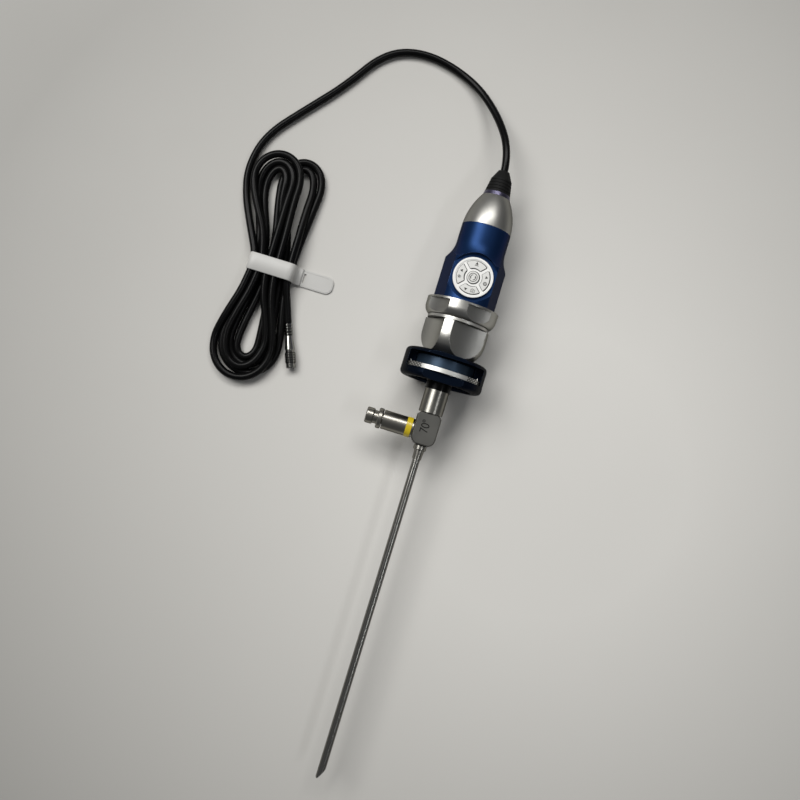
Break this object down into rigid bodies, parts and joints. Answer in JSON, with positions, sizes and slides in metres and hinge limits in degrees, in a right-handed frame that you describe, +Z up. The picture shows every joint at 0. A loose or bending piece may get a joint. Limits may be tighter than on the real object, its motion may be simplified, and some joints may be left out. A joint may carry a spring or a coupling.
{
  "type": "usb endoscope",
  "caption": "Camera head with round keypad, optical coupler with two turning rings, sprung eyepiece clamp, rigid side-lit viewing scope and a tied cord with a small round plug.",
  "frame": {"origin": "on the clamp's lower flat, straight below the optical axis, at the middle of the clamp's front flange", "axes": "+Y along the optical axis from the scope's tip to the cord, +Z up towards the keypad, -X towards the light post"},
  "size_m": [0.1599, 0.3925, 0.0408],
  "materials": {
    "blue_anodised": "satin",
    "dark_blue_anodised": "satin",
    "satin_aluminium": "satin",
    "plug_metal": "polished",
    "ring_anodised": "satin",
    "polished_steel": "polished",
    "spring_steel": "bright",
    "surgical_steel": "satin",
    "dark_cell": "black anodised",
    "black_plastic": "matt",
    "keypad_plastic": "satin silver",
    "circuit_board": "satin",
    "switch_metal": "bright",
    "glass": "polished",
    "fibre": "polished",
    "yellow_ring": "gloss",
    "black_rubber": "matt",
    "white_strap": "satin",
    "contact_gold": "plated"
  },
  "bodies": {
    "head": {"clamp_housing": "dark_blue_anodised", "latch_pins": "polished_steel", "latch_springs": "spring_steel", "coupler_barrel": "dark_blue_anodised", "coupler_window": "glass", "housing": "blue_anodised", "keypad_bezel": "keypad_plastic", "key_board": "circuit_board", "key_domes": "switch_metal", "sensor_window": "glass", "image_sensor": "black_plastic", "sensor_board": "circuit_board", "sensor_screws": "surgical_steel", "board_carrier": "black_plastic", "main_board": "circuit_board", "board_screws": "surgical_steel", "cable_header": "black_plastic", "rear_cone": "satin_aluminium", "rear_seal": "black_rubber", "gland_ring": "ring_anodised", "strain_relief": "black_rubber", "cord_lead": "black_rubber", "cord_hank": "black_rubber", "cord_tail": "black_rubber", "cable_tie": "white_strap", "plug_relief": "black_rubber", "plug_body": "plug_metal", "plug_contacts": "contact_gold"},
    "scope": {"eyepiece": "black_plastic", "eyepiece_window": "glass", "scope_neck": "surgical_steel", "scope_block": "surgical_steel", "shaft_collar": "surgical_steel", "outer_tube": "surgical_steel", "tip_window": "glass", "light_fibres": "fibre", "lens_tube": "surgical_steel", "rod_lenses": "glass", "post_core": "surgical_steel", "colour_ring": "yellow_ring", "post_sleeve": "surgical_steel", "post_tip": "surgical_steel", "fibre_window": "fibre"},
    "latch": {"latch_plate": "satin_aluminium"},
    "focus_ring": {"focus_ring": "satin_aluminium"},
    "zoom_ring": {"zoom_ring": "satin_aluminium"},
    "focus_carriage": {"focus_cell": "dark_cell", "focus_lens": "glass"},
    "zoom_carriage": {"zoom_cell": "dark_cell", "zoom_lens": "glass"},
    "key_up": {"button_up": "keypad_plastic"},
    "key_down": {"button_down": "keypad_plastic"},
    "key_left": {"button_left": "keypad_plastic"},
    "key_right": {"button_right": "keypad_plastic"},
    "key_centre": {"button_centre": "keypad_plastic"},
    "plug_sleeve": {"plug_sleeve": "plug_metal"}
  },
  "joints": [
    {"name": "scope_turn", "type": "hinge", "parent": "head", "child": "scope", "pos_m": [0, 0, 0.0195], "axis": [0, 1, 0], "continuous": true},
    {"name": "latch_press", "type": "slide", "parent": "head", "child": "latch", "axis": [0, 0, -1], "range_m": [0, 0.0025], "stiffness_N_per_m": 600, "springref_m": -0.001, "deforming": ["latch_springs"]},
    {"name": "focus_turn", "type": "hinge", "parent": "head", "child": "focus_ring", "pos_m": [0, 0, 0.0195], "axis": [0, 1, 0], "range_deg": [-60, 60]},
    {"name": "zoom_turn", "type": "hinge", "parent": "head", "child": "zoom_ring", "pos_m": [0, 0, 0.0195], "axis": [0, 1, 0], "range_deg": [-45, 45]},
    {"name": "focus_carriage_slide", "type": "slide", "parent": "head", "child": "focus_carriage", "axis": [0, 1, 0], "range_m": [-0.002, 0.002]},
    {"name": "zoom_carriage_slide", "type": "slide", "parent": "head", "child": "zoom_carriage", "axis": [0, 1, 0], "range_m": [-0.0025, 0.0025]},
    {"name": "up_press", "type": "slide", "parent": "head", "child": "key_up", "axis": [0, 0, -1], "range_m": [0, 0.00035], "stiffness_N_per_m": 1500, "springref_m": -0.0002},
    {"name": "down_press", "type": "slide", "parent": "head", "child": "key_down", "axis": [0, 0, -1], "range_m": [0, 0.00035], "stiffness_N_per_m": 1500, "springref_m": -0.0002},
    {"name": "left_press", "type": "slide", "parent": "head", "child": "key_left", "axis": [0, 0, -1], "range_m": [0, 0.00035], "stiffness_N_per_m": 1500, "springref_m": -0.0002},
    {"name": "right_press", "type": "slide", "parent": "head", "child": "key_right", "axis": [0, 0, -1], "range_m": [0, 0.00035], "stiffness_N_per_m": 1500, "springref_m": -0.0002},
    {"name": "centre_press", "type": "slide", "parent": "head", "child": "key_centre", "axis": [0, 0, -1], "range_m": [0, 0.00035], "stiffness_N_per_m": 1500, "springref_m": -0.0002},
    {"name": "plug_sleeve_slide", "type": "slide", "parent": "head", "child": "plug_sleeve", "axis": [-0.3616, 0.9323, 0], "range_m": [0, 0.0012], "stiffness_N_per_m": 400, "springref_m": -0.0005}
  ],
  "couplings": [
    {"joint": "focus_carriage_slide", "follows": "focus_turn", "m_per_rad": 0.0019},
    {"joint": "zoom_carriage_slide", "follows": "zoom_turn", "m_per_rad": 0.00318}
  ]
}
